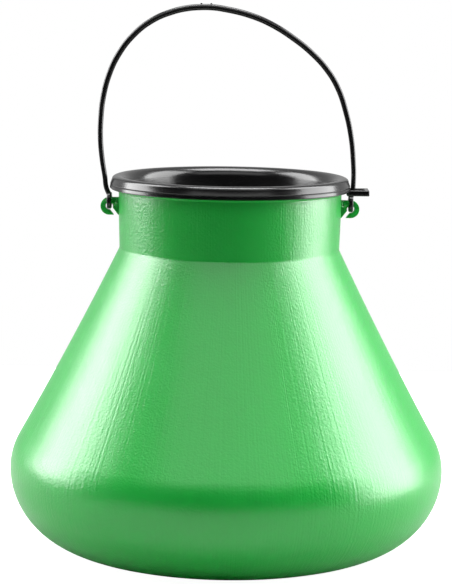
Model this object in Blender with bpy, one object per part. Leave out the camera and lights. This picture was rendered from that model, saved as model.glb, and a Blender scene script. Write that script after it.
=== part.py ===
"""A hanging funnel trap for insects: blow-moulded flask, push-in funnel lid, strap bail and lure basket.

Metres, +Z up. The origin is the centre of the foot ring, -Y is the front and +X the side of the lid's loop.
"""

import math

import bmesh
import bpy
from mathutils import Matrix, Vector

MM = 0.001

# Fits
SEAT_GAP = 0.3 * MM  # between pieces that rest on or in each other

# Facets round the flask and the lid, which nest facet to facet
ROUND_SIDES = 48

# Flask: a blow-moulded body of revolution
FLASK_WALL = 1.6 * MM
FLASK_RADIUS = 85.0 * MM
FLASK_WIDEST_Z = 31.4 * MM
FOOT_RADIUS = FLASK_RADIUS - 33.0 * MM
FOOT_RING_WIDTH = 8.0 * MM
FOOT_RECESS = 3.0 * MM
SHOULDER_ARC = 24.8 * MM
NECK_RADIUS = 43.3 * MM
NECK_START_Z = 116.5 * MM
NECK_FILLET = 8.0 * MM
NECK_TOP_Z = NECK_START_Z + 27.0 * MM
LIP_RADIUS = NECK_RADIUS + 1.3 * MM
LIP_HEIGHT = 1.9 * MM

# Hooks at the two ends of the flask's parting line
HOOK_X = NECK_RADIUS + 3.65 * MM
HOOK_TOP_Z = NECK_TOP_Z - 6.05 * MM
HOOK_RADIUS = 3.4 * MM
HOOK_Z = HOOK_TOP_Z - HOOK_RADIUS
HOOK_HOLE = 1.45 * MM
HOOK_PLATE = 2.4 * MM
HOOK_MOUTH = 1.4 * MM
HOOK_MOUTH_TILT = math.radians(38.0)  # of the mouth from straight down, towards the neck
HOOK_ROOT = 0.8 * MM  # how far the plate runs into the neck's wall
HOOK_SIDES = 28

# Funnel lid, which sits on the flask's lip
LID_WALL = 1.6 * MM
RIM_SKIRT = 1.9 * MM  # thickness of the rim where it hangs over the lip
RIM_RADIUS = LIP_RADIUS + SEAT_GAP + RIM_SKIRT
RIM_TOP_RADIUS = RIM_RADIUS - 0.8 * MM
RIM_BOTTOM_Z = NECK_TOP_Z - 2.2 * MM
RIM_EDGE_Z = NECK_TOP_Z + 1.4 * MM
RIM_CREST_Z = NECK_TOP_Z + 2.8 * MM
RIM_CREST_RADIUS = RIM_RADIUS - 3.0 * MM
MOUTH_ROLL = 4.0 * MM
COLLAR_RADIUS = RIM_CREST_RADIUS - 5.7 * MM  # where the steep collar below the mouth meets the cone
COLLAR_Z = NECK_TOP_Z - 17.5 * MM
THROAT_RADIUS = 16.0 * MM
THROAT_Z = NECK_TOP_Z - 46.5 * MM
THROAT_LENGTH = 5.0 * MM
PLUG_DEPTH = 3.4 * MM

# Loop on the lid's rim, which the bail's right leg is threaded through
LOOP_BAR = 1.7 * MM
LOOP_HEIGHT = 2.2 * MM
LOOP_BOTTOM_Z = RIM_BOTTOM_Z - 1.7 * MM
LOOP_REACH = RIM_RADIUS + 7.1 * MM
LOOP_ROOT = RIM_RADIUS - 1.6 * MM
LOOP_SLOT_START = RIM_RADIUS - 0.9 * MM
LOOP_SLOT_WIDTH = 7.6 * MM

# Strap bail
STRAP_WIDTH = 3.2 * MM
STRAP_LEG = 1.8 * MM
STRAP_CROWN = 2.4 * MM
EYE_BAR = 1.5 * MM
EYE_WIDTH = 7.6 * MM
EYE_PLAY = 0.45 * MM  # between the ring and the top of the hook's arm
EYE_BOTTOM_Z = HOOK_Z - 1.05 * MM
EYE_TOP_Z = HOOK_TOP_Z + EYE_PLAY + EYE_BAR
EYE_SQUARENESS = 0.62  # below one the ring's corners fill out towards a rectangle
NUB_HEIGHT = 0.45 * MM
NUB_GAP = 3.8 * MM
CROWN_FLAT = 5.0 * MM
STRAP_STEPS = 6
EYE_SIDES = 20

# The bail swings about the arms of the two hooks, which its eyes ring.
BAIL_AXIS_Z = HOOK_Z + (HOOK_RADIUS + HOOK_HOLE) / 2

# The bail's centre line as the flexed strap stands: x and z in mm from the top of each hook, the left
# leg upwards and the right leg downwards, with the level crown between them
LEFT_LEG = (
    (-1.25, 3.75), (-1.85, 8.15), (-2.85, 14.15), (-3.65, 22.55), (-3.55, 30.55), (-2.65, 38.95),
    (-0.45, 47.55), (3.15, 55.35), (8.75, 62.75), (15.95, 68.55), (23.95, 72.05), (29.95, 73.45),
)
RIGHT_LEG = (
    (-50.55, 73.35), (-40.05, 70.95), (-31.95, 67.65), (-23.55, 62.55), (-16.25, 56.85), (-10.05, 50.25),
    (-5.85, 43.45), (-2.65, 34.55), (-0.35, 24.55), (0.65, 15.55), (0.95, 8.55), (0.65, 3.75),
)
CROWN_X = -10.2 * MM
CROWN_Z = HOOK_TOP_Z + 73.85 * MM

# Lure basket, which hangs in the funnel on three fins
BASKET_RADIUS = 10.0 * MM
BASKET_WALL = 1.2 * MM
BASKET_FLOOR_Z = THROAT_Z + 6.0 * MM
BASKET_TOP_Z = BASKET_FLOOR_Z + 25.0 * MM
BASKET_SLOTS = 6
BASKET_SLOT_WIDTH = 4.6 * MM
BASKET_SLOT_START = 4.5 * MM
BASKET_SLOT_END = 18.5 * MM
FIN_COUNT = 3
FIN_PLATE = 1.6 * MM
FIN_BOTTOM_Z = THROAT_Z + 15.0 * MM
FIN_TOP_Z = COLLAR_Z - 2.0 * MM
BASKET_SIDES = 36

# Basket cap
CAP_WALL = 1.1 * MM
CAP_RADIUS = BASKET_RADIUS + SEAT_GAP + CAP_WALL
CAP_TOP = 1.4 * MM
CAP_SKIRT = 3.4 * MM
CAP_KNOB_RADIUS = 3.0 * MM
CAP_KNOB_HEIGHT = 6.0 * MM
CAP_VENTS = 6
CAP_VENT_RADIUS = 1.1 * MM
CAP_VENT_CIRCLE = 6.4 * MM

# Rubber lure
SEPTUM_RADIUS = 4.6 * MM
SEPTUM_FOOT_RADIUS = 3.6 * MM
SEPTUM_COLLAR_RADIUS = 6.2 * MM
SEPTUM_COLLAR = 5.0 * MM
SEPTUM_HEIGHT = 19.0 * MM
SEPTUM_CUP_RADIUS = 3.2 * MM
SEPTUM_CUP_DEPTH = 10.0 * MM
SEPTUM_SIDES = 24


def clear_scene():
    """Removes whatever the file holds."""
    for obj in list(bpy.data.objects):
        bpy.data.objects.remove(obj)


def material(name, colour, roughness):
    """A plain dielectric plastic or rubber."""
    made = bpy.data.materials.new(name)
    made.use_nodes = True
    shader = made.node_tree.nodes["Principled BSDF"]
    shader.inputs["Base Color"].default_value = (*colour, 1.0)
    shader.inputs["Roughness"].default_value = roughness
    shader.inputs["Metallic"].default_value = 0.0
    return made


def add_object(name, mesh_data, finish=None):
    """Turns a bmesh into a named, smooth-shaded object."""
    bmesh.ops.recalc_face_normals(mesh_data, faces=mesh_data.faces)
    mesh = bpy.data.meshes.new(name)
    mesh_data.to_mesh(mesh)
    mesh_data.free()
    mesh.shade_smooth()
    mesh.set_sharp_from_angle(angle=math.radians(35.0))
    obj = bpy.data.objects.new(name, mesh)
    bpy.context.scene.collection.objects.link(obj)
    if finish:
        mesh.materials.append(finish)
    return obj


def helper(obj):
    """Marks an object as a cutter or a joining shape that isn't a piece."""
    obj.hide_render = True
    obj.display_type = "WIRE"
    return obj


def combine(obj, other, operation):
    """Cuts a helper from an object or joins it to the object."""
    step = obj.modifiers.new(f"{operation.lower()} {other.name}", "BOOLEAN")
    step.operation = operation
    step.object = helper(other)
    step.solver = "EXACT"


def put_origin(obj, point):
    """Moves an object's origin to a point on its joint's axis; the shape stays where it is."""
    obj.data.transform(Matrix.Translation(-Vector(point)))
    obj.location = point


def arc(centre_r, centre_z, radius_r, radius_z, start, end, steps):
    """Points of an elliptical arc in the profile plane, angles in degrees from the outward direction."""
    angles = [math.radians(start + (end - start) * i / steps) for i in range(steps + 1)]
    return [(centre_r + radius_r * math.cos(a), centre_z + radius_z * math.sin(a)) for a in angles]


def turned(name, profile, sides, finish=None):
    """Spins a closed profile of (radius, height) points about Z; points on the axis become poles."""
    shape = bmesh.new()
    verts = [shape.verts.new((r, 0.0, z)) for r, z in profile]
    edges = [shape.edges.new(pair) for pair in zip(verts, verts[1:] + verts[:1])]
    on_axis = [e for e in edges if all(abs(v.co.x) < 1e-9 for v in e.verts)]
    kept = [e for e in edges if e not in on_axis]
    for edge in on_axis:
        shape.edges.remove(edge)
    bmesh.ops.spin(
        shape, geom=verts + kept, cent=(0, 0, 0), axis=(0, 0, 1), angle=math.tau, steps=sides, use_merge=True
    )
    bmesh.ops.remove_doubles(shape, verts=shape.verts, dist=1e-6)
    return add_object(name, shape, finish)


def plate(name, outline, thickness):
    """An outline of (x, z) points extruded to a plate that is centred on the XZ plane."""
    shape = bmesh.new()
    front = shape.faces.new([shape.verts.new((x, -thickness / 2, z)) for x, z in outline])
    grown = bmesh.ops.extrude_face_region(shape, geom=[front])
    moved = [g for g in grown["geom"] if isinstance(g, bmesh.types.BMVert)]
    bmesh.ops.translate(shape, vec=(0, thickness, 0), verts=moved)
    return add_object(name, shape)


def block(name, low, high):
    """A rectangular block between two corners."""
    shape = bmesh.new()
    bmesh.ops.create_cube(shape, size=1.0)
    low, high = Vector(low), Vector(high)
    for vert in shape.verts:
        vert.co = [(l + h) / 2 + (h - l) * c for l, h, c in zip(low, high, vert.co)]
    return add_object(name, shape)


def rod(name, centre, radius, length, axis, sides):
    """A cylinder along X, Y or Z."""
    shape = bmesh.new()
    bmesh.ops.create_cone(shape, cap_ends=True, segments=sides, radius1=radius, radius2=radius, depth=length)
    turn = Vector((0, 0, 1)).rotation_difference(Vector(axis)).to_matrix()
    bmesh.ops.rotate(shape, matrix=turn, verts=shape.verts)
    bmesh.ops.translate(shape, vec=centre, verts=shape.verts)
    return add_object(name, shape)


def skinned(name, rings, finish=None, closed=False):
    """Bridges rings of points, with flat ends or, where closed, back to the first ring."""
    shape = bmesh.new()
    loops = [[shape.verts.new(p) for p in ring] for ring in rings]
    pairs = list(zip(loops, loops[1:]))
    if closed:
        pairs.append((loops[-1], loops[0]))
    for here, there in pairs:
        for i in range(len(here)):
            j = (i + 1) % len(here)
            shape.faces.new((here[i], here[j], there[j], there[i]))
    if not closed:
        shape.faces.new(loops[0])
        shape.faces.new(loops[-1])
    return add_object(name, shape, finish)


def funnel_radius(z):
    """Radius of the funnel's inner wall at a height: a cone above the throat, then a steep collar."""
    top_r, top_z = mouth_end()
    if z > COLLAR_Z:
        return COLLAR_RADIUS + (top_r - COLLAR_RADIUS) * (z - COLLAR_Z) / (top_z - COLLAR_Z)
    return THROAT_RADIUS + (COLLAR_RADIUS - THROAT_RADIUS) * (z - THROAT_Z) / (COLLAR_Z - THROAT_Z)


def mouth_end():
    """Where the rolled mouth hands over to the funnel's collar."""
    return RIM_CREST_RADIUS - MOUTH_ROLL, RIM_CREST_Z - MOUTH_ROLL


def flask_outline():
    """Outer profile of the flask, from the foot's recess up to the lip."""
    foot_inner = FOOT_RADIUS - FOOT_RING_WIDTH
    outline = [(0.0, FOOT_RECESS), (foot_inner - FOOT_RECESS, FOOT_RECESS), (foot_inner, 0.0)]
    outline += arc(FOOT_RADIUS, FLASK_WIDEST_Z, FLASK_RADIUS - FOOT_RADIUS, FLASK_WIDEST_Z, -90, 0, 10)
    # The shoulder arc ends where the straight cone touches it and runs to the neck's start.
    centre_r = FLASK_RADIUS - SHOULDER_ARC
    reach = Vector((NECK_RADIUS - centre_r, NECK_START_Z - FLASK_WIDEST_Z))
    tangent = math.degrees(math.atan2(reach.y, reach.x) - math.acos(SHOULDER_ARC / reach.length))
    outline += arc(centre_r, FLASK_WIDEST_Z, SHOULDER_ARC, SHOULDER_ARC, 0, tangent, 6)[1:]
    # The concave fillet between the cone, which leans by the tangent angle, and the upright neck.
    setback = NECK_FILLET * math.tan(math.radians(tangent) / 2)
    fillet_z = NECK_START_Z + setback
    outline += arc(NECK_RADIUS + NECK_FILLET, fillet_z, NECK_FILLET, NECK_FILLET, 180 + tangent, 180, 4)
    outline += [(NECK_RADIUS, NECK_TOP_Z - LIP_HEIGHT - (LIP_RADIUS - NECK_RADIUS))]
    outline += [(LIP_RADIUS, NECK_TOP_Z - LIP_HEIGHT), (LIP_RADIUS, NECK_TOP_Z)]
    return outline


def inset(outline, distance):
    """The outline moved to its left by a wall's thickness, corner by corner; axis points stay on the axis."""
    moved = []
    for i, point in enumerate(outline):
        here = Vector(point)
        before = here - Vector(outline[max(i - 1, 0)])
        after = Vector(outline[min(i + 1, len(outline) - 1)]) - here
        sides = [Vector((-d.y, d.x)).normalized() for d in (before, after) if d.length > 1e-9]
        normal = sum(sides, Vector((0, 0))).normalized()
        shifted = here + normal * distance / max(normal.dot(sides[0]), 0.5)
        moved.append((max(shifted.x, 0.0) if point[0] > 1e-9 else 0.0, shifted.y))
    return moved


def hook(side):
    """One open C hook with the web that ties it to the neck, on the left (-1) or the right (+1)."""
    # The C's top is the top of the web, so the web's corner carries on the round.
    root_x = NECK_RADIUS - HOOK_ROOT
    outline = arc(HOOK_X, HOOK_Z, HOOK_RADIUS, HOOK_RADIUS, 90, -120, HOOK_SIDES // 2)
    outline += [(root_x, HOOK_Z - HOOK_RADIUS), (root_x, HOOK_TOP_Z)]
    body = plate(f"hook {side}", [(side * x, z) for x, z in outline], HOOK_PLATE)
    centre = (side * HOOK_X, 0, HOOK_Z)
    hole = rod(f"hook hole {side}", centre, HOOK_HOLE, 2 * HOOK_PLATE, (0, 1, 0), HOOK_SIDES)
    combine(body, hole, "DIFFERENCE")
    # The mouth is a straight cut from the hole, down and in towards the neck.
    down = Vector((-side * math.sin(HOOK_MOUTH_TILT), -math.cos(HOOK_MOUTH_TILT)))
    across = Vector((-down.y, down.x)) * HOOK_MOUTH / 2
    start = Vector((side * HOOK_X, HOOK_Z))
    far = start + down * 2.5 * HOOK_RADIUS
    corners = [start - across, start + across, far + across, far - across]
    mouth = plate(f"hook mouth {side}", [tuple(c) for c in corners], 2 * HOOK_PLATE)
    combine(body, mouth, "DIFFERENCE")
    return body


def make_flask(finish):
    """The green flask with its two hooks."""
    outer = flask_outline()
    flask = turned("trap_flask", outer + inset(outer, FLASK_WALL)[::-1], ROUND_SIDES, finish)
    for side in (-1, 1):
        combine(flask, hook(side), "UNION")
    return flask


def lid_outline():
    """Closed profile of the lid: rim, mouth, collar, cone, throat and the channel over the neck's lip."""
    mouth_r, mouth_z = mouth_end()
    channel_z = NECK_TOP_Z + SEAT_GAP
    skirt_r = LIP_RADIUS + SEAT_GAP
    plug_r = NECK_RADIUS - FLASK_WALL - SEAT_GAP
    lean = math.atan2(COLLAR_RADIUS - THROAT_RADIUS, COLLAR_Z - THROAT_Z)
    wall_out = LID_WALL / math.cos(lean)
    throat_end = THROAT_Z - THROAT_LENGTH
    plug_end = channel_z - PLUG_DEPTH
    outline = [(skirt_r, RIM_BOTTOM_Z), (RIM_RADIUS, RIM_BOTTOM_Z)]
    # The rim's outer edge is rounded over to the crest, and the crest rolls into the mouth.
    crest_r, crest_z = RIM_TOP_RADIUS - RIM_CREST_RADIUS, RIM_CREST_Z - RIM_EDGE_Z
    outline += arc(RIM_CREST_RADIUS, RIM_EDGE_Z, crest_r, crest_z, 0, 90, 4)
    outline += arc(mouth_r + MOUTH_ROLL, mouth_z, MOUTH_ROLL, MOUTH_ROLL, 90, 180, 5)[1:]
    outline += [(COLLAR_RADIUS, COLLAR_Z), (THROAT_RADIUS, THROAT_Z), (THROAT_RADIUS, throat_end)]
    outline += [(THROAT_RADIUS + LID_WALL, throat_end), (THROAT_RADIUS + wall_out, THROAT_Z)]
    collar_top_r = min(funnel_radius(plug_end) + LID_WALL, plug_r)
    outline += [(COLLAR_RADIUS + wall_out, COLLAR_Z), (collar_top_r, plug_end)]
    outline += [(plug_r, plug_end + LID_WALL), (plug_r, channel_z), (skirt_r, channel_z)]
    return outline


def make_lid(finish):
    """The black funnel lid with the loop that the bail's right leg runs through."""
    lid = turned("funnel_lid", lid_outline(), ROUND_SIDES, finish)
    half = LOOP_SLOT_WIDTH / 2 + LOOP_BAR
    top_z = LOOP_BOTTOM_Z + LOOP_HEIGHT
    frame = block("loop frame", (LOOP_ROOT, -half, LOOP_BOTTOM_Z), (LOOP_REACH, half, top_z))
    soften = frame.modifiers.new("rounded bars", "BEVEL")
    soften.width = 0.25 * LOOP_BAR
    soften.segments = 2
    combine(lid, frame, "UNION")
    slot_low = (LOOP_SLOT_START, -LOOP_SLOT_WIDTH / 2, LOOP_BOTTOM_Z - LOOP_HEIGHT)
    slot_high = (LOOP_REACH - LOOP_BAR, LOOP_SLOT_WIDTH / 2, RIM_CREST_Z + LOOP_HEIGHT)
    combine(lid, block("loop slot", slot_low, slot_high), "DIFFERENCE")
    return lid


def smooth_route(points, steps):
    """A Catmull-Rom curve through the points, with its end points included."""
    ends = [points[0] * 2 - points[1], *points, points[-1] * 2 - points[-2]]
    curve = []
    for a, b, c, d in zip(ends, ends[1:], ends[2:], ends[3:]):
        for i in range(steps):
            t = i / steps
            bend = (2 * a - 5 * b + 4 * c - d) * t**2 + (3 * b - a - 3 * c + d) * t**3
            curve.append(0.5 * (2 * b + (c - a) * t + bend))
    return [*curve, points[-1]]


def strap_section(centre, along, width, thick):
    """Eight points of a flat bar with chamfered edges, square to its run in the XZ plane."""
    out = Vector((-along.z, 0, along.x))
    side = Vector((0, 1, 0))
    edge = 0.28 * thick
    half_w, half_t = width / 2, thick / 2
    corners = [
        (half_w, half_t - edge), (half_w - edge, half_t),
        (-half_w + edge, half_t), (-half_w, half_t - edge),
        (-half_w, -half_t + edge), (-half_w + edge, -half_t),
        (half_w - edge, -half_t), (half_w, -half_t + edge),
    ]
    return [centre + side * w + out * t for w, t in corners]


def bail_strap(finish):
    """The bent strap, thicker at the crown than down its legs, with a level stretch at the crown."""
    left = [Vector((-HOOK_X + x * MM, 0, HOOK_TOP_Z + z * MM)) for x, z in LEFT_LEG]
    right = [Vector((HOOK_X + x * MM, 0, HOOK_TOP_Z + z * MM)) for x, z in RIGHT_LEG]
    half = CROWN_FLAT / 2
    flat = [Vector((CROWN_X - half, 0, CROWN_Z)), Vector((CROWN_X + half, 0, CROWN_Z))]
    level = Vector((1, 0, 0))
    points = smooth_route([*left, flat[0]], STRAP_STEPS // 2)[:-1] + flat
    points += smooth_route([flat[1], *right], STRAP_STEPS // 2)[1:]
    rise = CROWN_Z - points[0].z
    rings = []
    for i, point in enumerate(points):
        along = (points[min(i + 1, len(points) - 1)] - points[max(i - 1, 0)]).normalized()
        if point in flat:
            along = level
        share = min(max((point.z - points[0].z) / rise, 0.0), 1.0)
        rings.append(strap_section(point, along, STRAP_WIDTH, STRAP_LEG + (STRAP_CROWN - STRAP_LEG) * share))
    return skinned("bail_handle", rings, finish), (points[0], points[-1])


def bail_eye(side, strap_end):
    """The ring at a strap's end, upright in the YZ plane, and the shoulder that joins it to the strap."""
    centre_z = (EYE_BOTTOM_Z + EYE_TOP_Z) / 2
    half_w, half_h = EYE_WIDTH / 2, (EYE_TOP_Z - EYE_BOTTOM_Z) / 2
    half_bar, half_thick = EYE_BAR / 2, STRAP_LEG / 2
    edge = 0.28 * EYE_BAR
    rings = []
    for i in range(EYE_SIDES):
        a = math.tau * i / EYE_SIDES
        out = Vector((0, math.cos(a), math.sin(a)))
        fill = [math.copysign(abs(c) ** EYE_SQUARENESS, c) for c in out]
        across, up = fill[1] * (half_w - half_bar), fill[2] * (half_h - half_bar)
        middle = Vector((side * HOOK_X, across, centre_z + up))
        section = [
            (half_thick, half_bar - edge), (half_thick - edge, half_bar), (-half_thick + edge, half_bar),
            (-half_thick, half_bar - edge), (-half_thick, -half_bar + edge), (-half_thick + edge, -half_bar),
            (half_thick - edge, -half_bar), (half_thick, -half_bar + edge),
        ]
        rings.append([middle + Vector((x, 0, 0)) + out * r for x, r in section])
    ring = skinned(f"eye ring {side}", rings, closed=True)
    foot = Vector((side * HOOK_X, 0, EYE_TOP_Z - 0.75 * EYE_BAR))
    head = strap_end + Vector((0, 0, 0.2 * STRAP_LEG))
    ends = [strap_section(p, Vector((0, 0, 1)), STRAP_WIDTH, STRAP_LEG) for p in (foot, head)]
    return ring, skinned(f"eye shoulder {side}", ends)


def make_bail(finish):
    """The black strap bail: strap, two eyes and the two nubs that keep a hanging cord on its crown."""
    bail, ends = bail_strap(finish)
    for side, end in zip((-1, 1), ends):
        for shape in bail_eye(side, end):
            combine(bail, shape, "UNION")
    top_z = CROWN_Z + STRAP_CROWN / 2
    for side in (-1, 1):
        centre = (CROWN_X + side * NUB_GAP / 2, 0, top_z)
        nub = rod(f"nub {side}", centre, NUB_HEIGHT, 0.7 * STRAP_WIDTH, (0, 1, 0), 12)
        combine(bail, nub, "UNION")
    put_origin(bail, (0, 0, BAIL_AXIS_Z))
    return bail


def make_basket(finish):
    """The slotted lure basket, a cup with three fins that rest on the funnel's wall."""
    inner = BASKET_RADIUS - BASKET_WALL
    floor = BASKET_FLOOR_Z
    cup = [
        (0.0, floor), (inner, floor), (BASKET_RADIUS, floor + BASKET_WALL), (BASKET_RADIUS, BASKET_TOP_Z),
        (inner, BASKET_TOP_Z), (inner, floor + BASKET_WALL), (0.0, floor + BASKET_WALL),
    ]
    basket = turned("lure_basket", cup, BASKET_SIDES, finish)
    lean = math.atan2(funnel_radius(FIN_TOP_Z) - funnel_radius(FIN_BOTTOM_Z), FIN_TOP_Z - FIN_BOTTOM_Z)
    stand_off = SEAT_GAP / math.cos(lean)
    for i in range(FIN_COUNT):
        reach = [(funnel_radius(z) - stand_off, z) for z in (FIN_BOTTOM_Z, FIN_TOP_Z)]
        root = BASKET_RADIUS - 0.5 * BASKET_WALL
        fin = plate(f"fin {i}", [(root, FIN_BOTTOM_Z), reach[0], reach[1], (root, FIN_TOP_Z)], FIN_PLATE)
        fin.rotation_euler.z = math.tau * (i + 0.25) / FIN_COUNT
        combine(basket, fin, "UNION")
    for i in range(BASKET_SLOTS):
        low = (0.5 * inner, -BASKET_SLOT_WIDTH / 2, floor + BASKET_SLOT_START)
        high = (BASKET_RADIUS + BASKET_WALL, BASKET_SLOT_WIDTH / 2, floor + BASKET_SLOT_END)
        slot = block(f"basket slot {i}", low, high)
        # The slots lie between the fins.
        slot.rotation_euler.z = math.tau * (i + 0.5) / BASKET_SLOTS + math.tau * 0.25 / FIN_COUNT
        combine(basket, slot, "DIFFERENCE")
    return basket


def make_cap(finish):
    """The vented push-on cap of the basket, with a knob to pull it by."""
    under = BASKET_TOP_Z + SEAT_GAP
    top = under + CAP_TOP
    bore = BASKET_RADIUS + SEAT_GAP
    outline = [(0.0, under), (bore, under), (bore, under - CAP_SKIRT), (CAP_RADIUS, under - CAP_SKIRT)]
    outline += [(CAP_RADIUS, top - 0.5 * CAP_TOP), (CAP_RADIUS - 0.5 * CAP_TOP, top)]
    outline += [(CAP_KNOB_RADIUS, top), (CAP_KNOB_RADIUS, top + 0.8 * CAP_KNOB_HEIGHT)]
    outline += [(0.8 * CAP_KNOB_RADIUS, top + CAP_KNOB_HEIGHT), (0.0, top + CAP_KNOB_HEIGHT)]
    cap = turned("lure_cap", outline, BASKET_SIDES, finish)
    for i in range(CAP_VENTS):
        a = math.tau * i / CAP_VENTS
        centre = (CAP_VENT_CIRCLE * math.cos(a), CAP_VENT_CIRCLE * math.sin(a), under)
        combine(cap, rod(f"vent {i}", centre, CAP_VENT_RADIUS, 6 * CAP_TOP, (0, 0, 1), 12), "DIFFERENCE")
    return cap


def make_septum(finish):
    """The rubber sleeve stopper that holds the pheromone, with its open cup upwards."""
    floor = BASKET_FLOOR_Z + BASKET_WALL + SEAT_GAP
    top = floor + SEPTUM_HEIGHT
    collar = top - SEPTUM_COLLAR
    cup_z = top - SEPTUM_CUP_DEPTH
    outline = [(0.0, floor), (SEPTUM_FOOT_RADIUS, floor), (SEPTUM_RADIUS, collar - 0.3 * SEPTUM_COLLAR)]
    outline += [(SEPTUM_COLLAR_RADIUS, collar), (SEPTUM_COLLAR_RADIUS, top - 0.2 * SEPTUM_COLLAR)]
    outline += [(SEPTUM_COLLAR_RADIUS - 0.2 * SEPTUM_COLLAR, top), (SEPTUM_CUP_RADIUS, top)]
    outline += [(SEPTUM_CUP_RADIUS, cup_z), (0.0, cup_z)]
    return turned("lure_septum", outline, SEPTUM_SIDES, finish)


def main():
    """Builds the trap."""
    clear_scene()
    green = material("green polyethylene", (0.03, 0.42, 0.09), 0.38)
    black = material("black polypropylene", (0.02, 0.02, 0.022), 0.34)
    pale = material("natural polypropylene", (0.78, 0.78, 0.74), 0.4)
    rubber = material("red-brown rubber", (0.36, 0.08, 0.05), 0.75)
    make_flask(green)
    make_lid(black)
    make_bail(black)
    make_basket(pale)
    make_cap(pale)
    make_septum(rubber)


main()
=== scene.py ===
"""Looks of the hanging funnel trap: green flask, black funnel lid and bail, and the lure basket inside.

Metres, +Z up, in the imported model's frame: the flask's foot is at the origin, -Y is the front and +X is the
side of the lid's loop.
"""

from __future__ import annotations

import logging
import math
from dataclasses import dataclass
from enum import Enum
from typing import Any, Sequence

import bpy
from mathutils import Matrix, Vector

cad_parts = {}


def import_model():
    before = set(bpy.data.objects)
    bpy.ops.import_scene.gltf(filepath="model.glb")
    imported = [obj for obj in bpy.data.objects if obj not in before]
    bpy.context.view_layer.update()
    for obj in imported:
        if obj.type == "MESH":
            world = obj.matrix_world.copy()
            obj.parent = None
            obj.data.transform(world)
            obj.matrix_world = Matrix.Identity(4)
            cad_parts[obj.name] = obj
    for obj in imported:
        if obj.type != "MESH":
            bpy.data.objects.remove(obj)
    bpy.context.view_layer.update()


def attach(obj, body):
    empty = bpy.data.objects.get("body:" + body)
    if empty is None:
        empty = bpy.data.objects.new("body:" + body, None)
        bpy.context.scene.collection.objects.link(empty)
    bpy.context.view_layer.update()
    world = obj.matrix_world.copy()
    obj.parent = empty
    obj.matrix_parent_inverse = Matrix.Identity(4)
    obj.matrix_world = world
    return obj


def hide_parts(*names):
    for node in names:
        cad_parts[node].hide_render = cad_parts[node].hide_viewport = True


log = logging.getLogger("funnel_trap")

Point2 = tuple[float, float]
MM = 0.001
# Play where one piece sits in another
SEAT_GAP = 0.3 * MM
# Rounding of a moulded edge
EDGE_BREAK = 0.35 * MM
# Edges with a sharper bend than this, in degrees, are rounded
SHARP_BEND = 30.0
# Points nearer than this are merged
MERGE = 1e-6
# Lengths below this count as none
NO_LENGTH = 1e-9
# Least cosine at a corner of a wall, so that its inside stays near
CORNER_LIMIT = 0.6
WHITE = "#FFFFFF"


class Body(Enum):
    """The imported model's moving groups."""

    FLASK = "flask"
    LID = "lid"
    BAIL = "bail"
    BASKET = "basket"
    CAP = "cap"


class Cut(Enum):
    """What a Boolean step does with its tool."""

    JOIN = "UNION"
    REMOVE = "DIFFERENCE"


# Modelling by hand: small steps that the sub-assemblies share


def linear(colour: str) -> tuple[float, float, float, float]:
    """Turns an sRGB hex colour into linear RGBA.

    Args:
        colour: six hex digits after a hash sign.

    Returns:
        Linear red, green, blue and an alpha of one.
    """
    parts = [int(colour[i : i + 2], 16) / 255 for i in (1, 3, 5)]
    light = [p / 12.92 if p <= 0.04045 else ((p + 0.055) / 1.055) ** 2.4 for p in parts]
    return (light[0], light[1], light[2], 1.0)


def activate(obj: bpy.types.Object) -> None:
    """Makes an object the only selected one and the active one.

    Args:
        obj: the object.
    """
    bpy.ops.object.select_all(action="DESELECT")
    obj.select_set(True)
    bpy.context.view_layer.objects.active = obj


def added(name: str) -> bpy.types.Object:
    """Names the object that the last operator added.

    Args:
        name: the name for the object and its data.

    Returns:
        The object.
    """
    obj = bpy.context.object
    obj.name = name
    obj.data.name = name
    return obj


def settle(obj: bpy.types.Object) -> bpy.types.Object:
    """Puts an object's place into its mesh, so that the object sits at the origin.

    Args:
        obj: the object.

    Returns:
        The same object.
    """
    activate(obj)
    bpy.ops.object.transform_apply(location=True, rotation=True, scale=True)
    return obj


def apply_all(obj: bpy.types.Object) -> bpy.types.Object:
    """Applies every modifier of an object in order.

    Args:
        obj: the object.

    Returns:
        The same object.
    """
    activate(obj)
    for step in list(obj.modifiers):
        bpy.ops.object.modifier_apply(modifier=step.name)
    return obj


def boolean(obj: bpy.types.Object, tool: bpy.types.Object, cut: Cut) -> None:
    """Joins a tool to an object or cuts it away, and removes the tool.

    Args:
        obj: the object that stays.
        tool: the closed shape that is used up.
        cut: whether the tool is joined or removed.
    """
    step = obj.modifiers.new("cut", "BOOLEAN")
    step.operation = cut.value
    step.object = tool
    step.solver = "EXACT"
    apply_all(obj)
    bpy.data.objects.remove(tool)


def rounded(obj: bpy.types.Object, width: float, segments: int = 3) -> bpy.types.Object:
    """Rounds an object's sharp edges with a bevel.

    Args:
        obj: the object.
        width: the bevel's width in metres.
        segments: faces across each rounding.

    Returns:
        The object, with the bevel applied.
    """
    step = obj.modifiers.new("rounding", "BEVEL")
    step.width = width
    step.segments = segments
    step.limit_method = "ANGLE"
    step.angle_limit = math.radians(SHARP_BEND)
    return apply_all(obj)


def smooth(obj: bpy.types.Object, angle: float = 32.0) -> bpy.types.Object:
    """Shades an object smooth, and leaves its sharper edges as they are.

    Args:
        obj: the object.
        angle: edges with a sharper bend than this, in degrees, stay sharp.

    Returns:
        The same object.
    """
    activate(obj)
    bpy.ops.object.shade_smooth_by_angle(angle=math.radians(angle))
    return obj


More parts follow.
